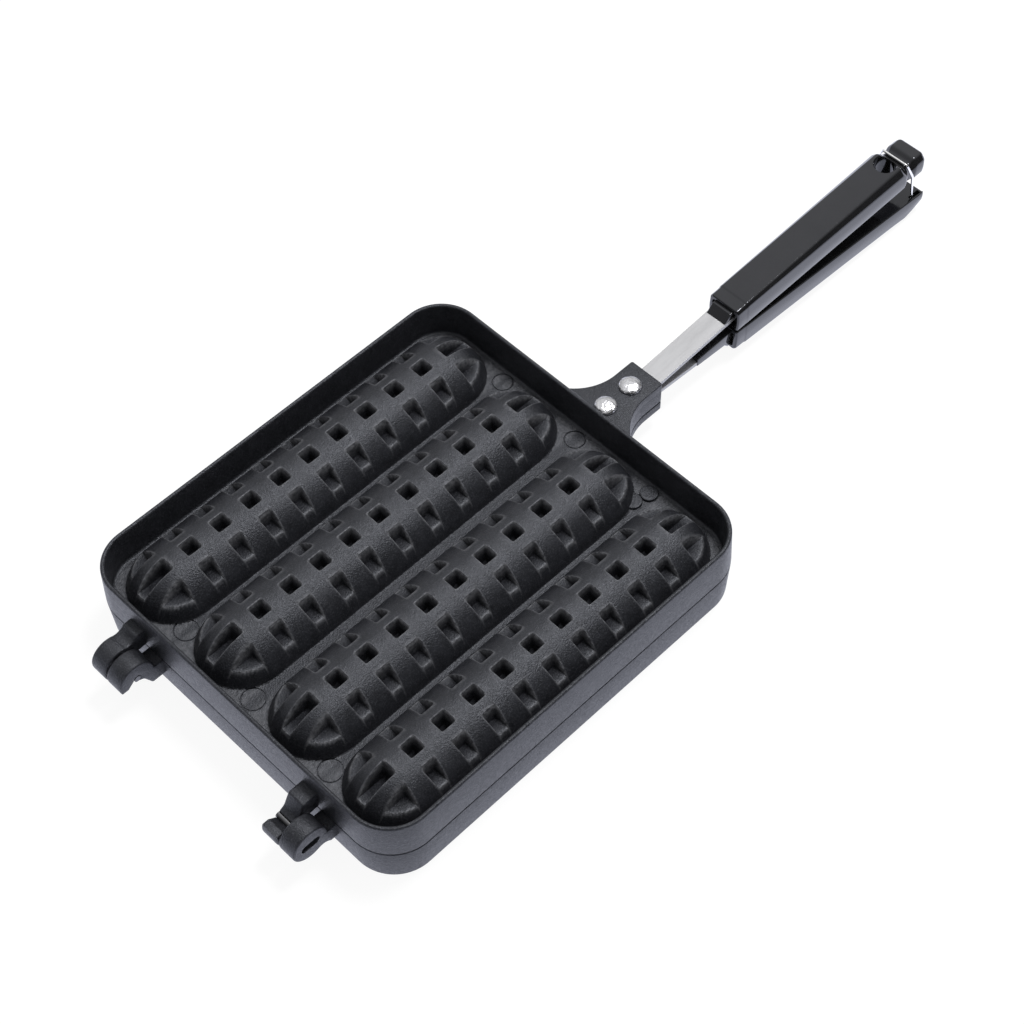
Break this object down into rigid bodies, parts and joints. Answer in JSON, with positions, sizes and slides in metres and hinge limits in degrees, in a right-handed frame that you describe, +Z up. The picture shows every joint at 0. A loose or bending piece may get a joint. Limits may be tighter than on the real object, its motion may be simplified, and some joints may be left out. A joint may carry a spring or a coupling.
{
  "type": "hot dog grill pan",
  "caption": "Hinged cast grill pan with waffle-pocketed sausage moulds, paired black grips and a wire bail latch.",
  "frame": {"origin": "on the table, under the middle of the closed pan's overall length", "axes": "+X along the handle from the hinge to the grips' tails, +Y across the pan, +Z up"},
  "size_m": [0.3858, 0.1614, 0.0339],
  "materials": {
    "cast_aluminium": "as cast, dull dark grey",
    "black_bakelite": "glossy moulded",
    "strap_steel": "rolled, slightly dull",
    "rivet_aluminium": "bright, set cold",
    "pin_steel": "drawn",
    "wire_steel": "bright spring wire"
  },
  "bodies": {
    "lower_half": {"lower_plate": "cast_aluminium", "lower_strap": "strap_steel", "lower_grip": "black_bakelite", "lower_rivet_inner": "rivet_aluminium", "lower_rivet_outer": "rivet_aluminium", "right_hinge_pin": "pin_steel", "lower_grip_screw": "pin_steel"},
    "upper_half": {"upper_plate": "cast_aluminium", "upper_strap": "strap_steel", "upper_grip": "black_bakelite", "upper_rivet_inner": "rivet_aluminium", "upper_rivet_outer": "rivet_aluminium", "left_hinge_pin": "pin_steel", "upper_grip_screw": "pin_steel"},
    "bail": {"latch_bail": "wire_steel"}
  },
  "joints": [
    {"name": "lid_hinge", "type": "hinge", "parent": "lower_half", "child": "upper_half", "pos_m": [-0.18535, 0, 0.0168], "axis": [0, -1, 0], "range_deg": [0, 180]},
    {"name": "bail_swing", "type": "hinge", "parent": "lower_half", "child": "bail", "pos_m": [0.18745, 0, 0.008], "axis": [0, 1, 0], "range_deg": [0, 70]}
  ]
}
